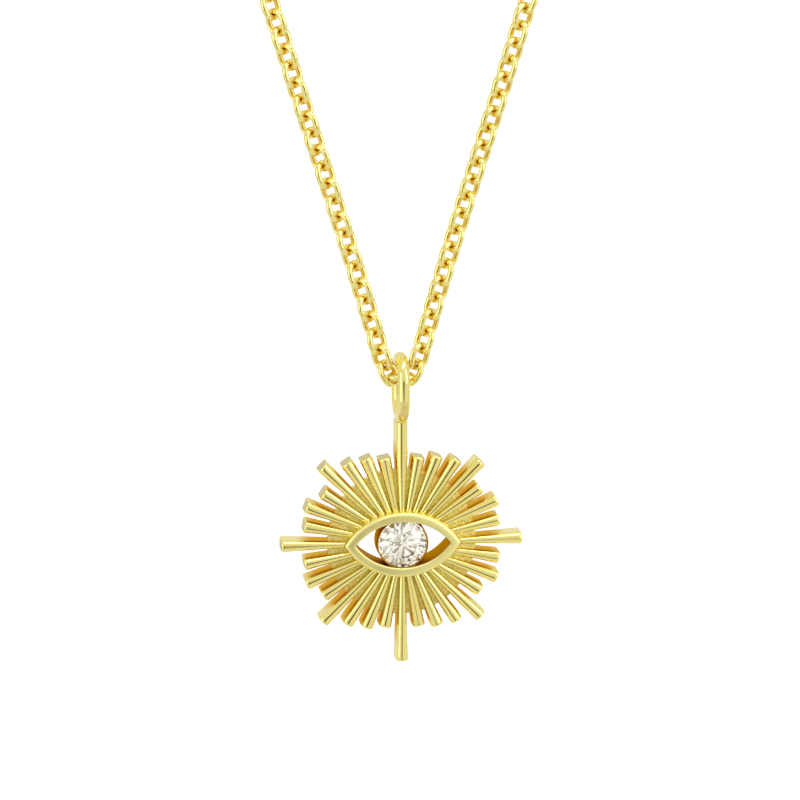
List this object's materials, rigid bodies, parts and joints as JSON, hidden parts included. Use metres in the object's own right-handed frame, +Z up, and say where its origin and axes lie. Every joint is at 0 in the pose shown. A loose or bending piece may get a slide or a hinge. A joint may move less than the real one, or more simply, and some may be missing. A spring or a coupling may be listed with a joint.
{
  "type": "eye necklace",
  "caption": "Fine cable chain necklace with a flat sunburst pendant, whose pointed eye frame holds a round brilliant stone; the pendant swings on its oval bail ring",
  "frame": {"origin": "behind the neck, where the nape carries the chain: the inner side of the clasp's jump rings, at the chain's height", "axes": "+Z up, the necklace hanging as worn; the pendant's face looks along -Y and the wearer's left is +X"},
  "size_m": [0.1082, 0.1153, 0.1459],
  "materials": {
    "chain": "polished gold plating",
    "findings": "polished gold plating",
    "sunburst": "polished gold rays, satin eye frame, sandblasted plate",
    "stone": "clear, brilliant cut"
  },
  "bodies": {
    "chain": {"chain_left": "chain", "chain_right": "chain", "jump_ring_left": "findings", "jump_ring_right": "findings", "clasp": "findings"},
    "pendant": {"sunburst": "sunburst", "eye_stone": "stone"}
  },
  "joints": [
    {"name": "pendant_swing", "type": "hinge", "parent": "chain", "child": "pendant", "pos_m": [0, -0.1105, -0.125], "axis": [1, 0, 0], "range_deg": [-80, 80]}
  ]
}
